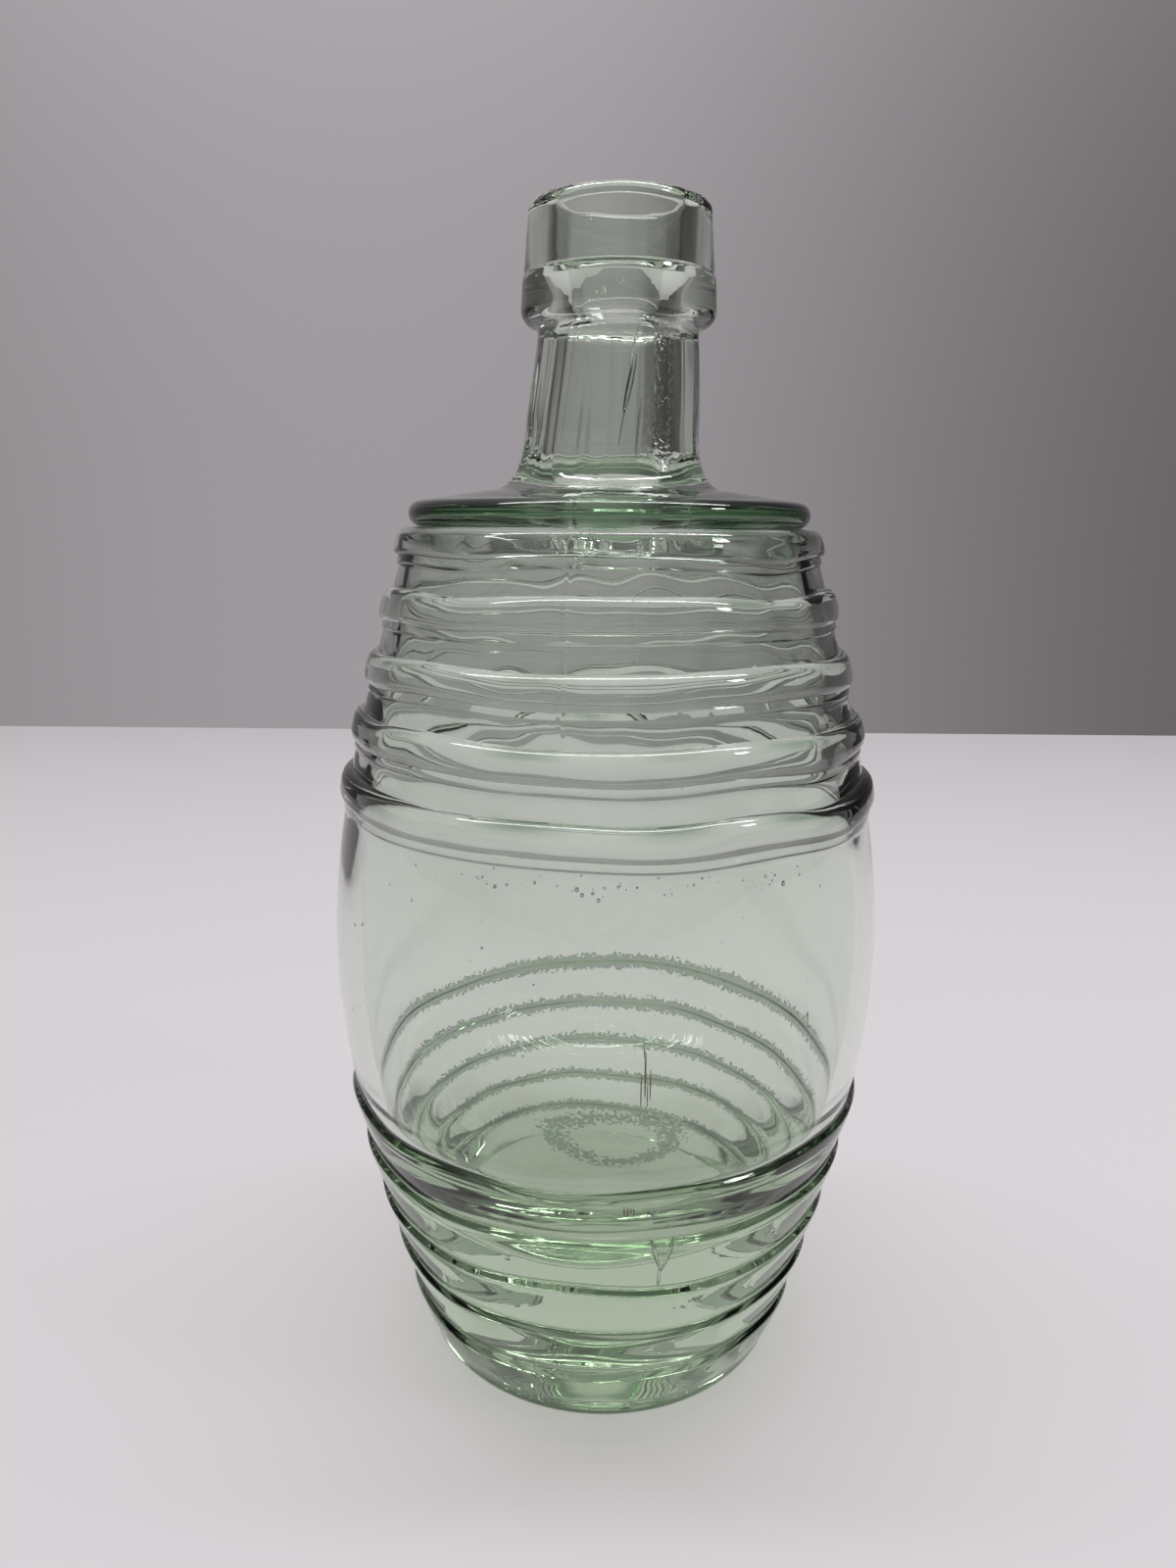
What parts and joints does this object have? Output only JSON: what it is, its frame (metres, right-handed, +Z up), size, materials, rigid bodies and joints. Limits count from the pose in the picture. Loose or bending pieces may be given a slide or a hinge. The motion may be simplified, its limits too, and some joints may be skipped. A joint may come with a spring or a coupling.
{
  "type": "barrel-shaped whisky bottle",
  "caption": "Open barrel-shaped whisky bottle of pale green blown glass, with moulded hoops above and below a plain belly, a thick bottom, a thick-walled neck and a cup-mouthed collar, for holding spirit.",
  "frame": {"origin": "middle of the flat standing ring under the base, at table height", "axes": "+Z up along the bottle's axis, towards the mouth; -Y faces the viewer of the picture"},
  "size_m": [0.1, 0.1, 0.2076],
  "materials": {
    "body_glass": "clear pale green blown glass, glossy, with seed bubbles and faint mould marks",
    "finish_glass": "clear pale green glass, fire-polished, with faint tool marks"
  },
  "bodies": {
    "root": {"barrel_body": "body_glass", "collar_ring": "finish_glass", "lip_band": "finish_glass"}
  },
  "joints": []
}
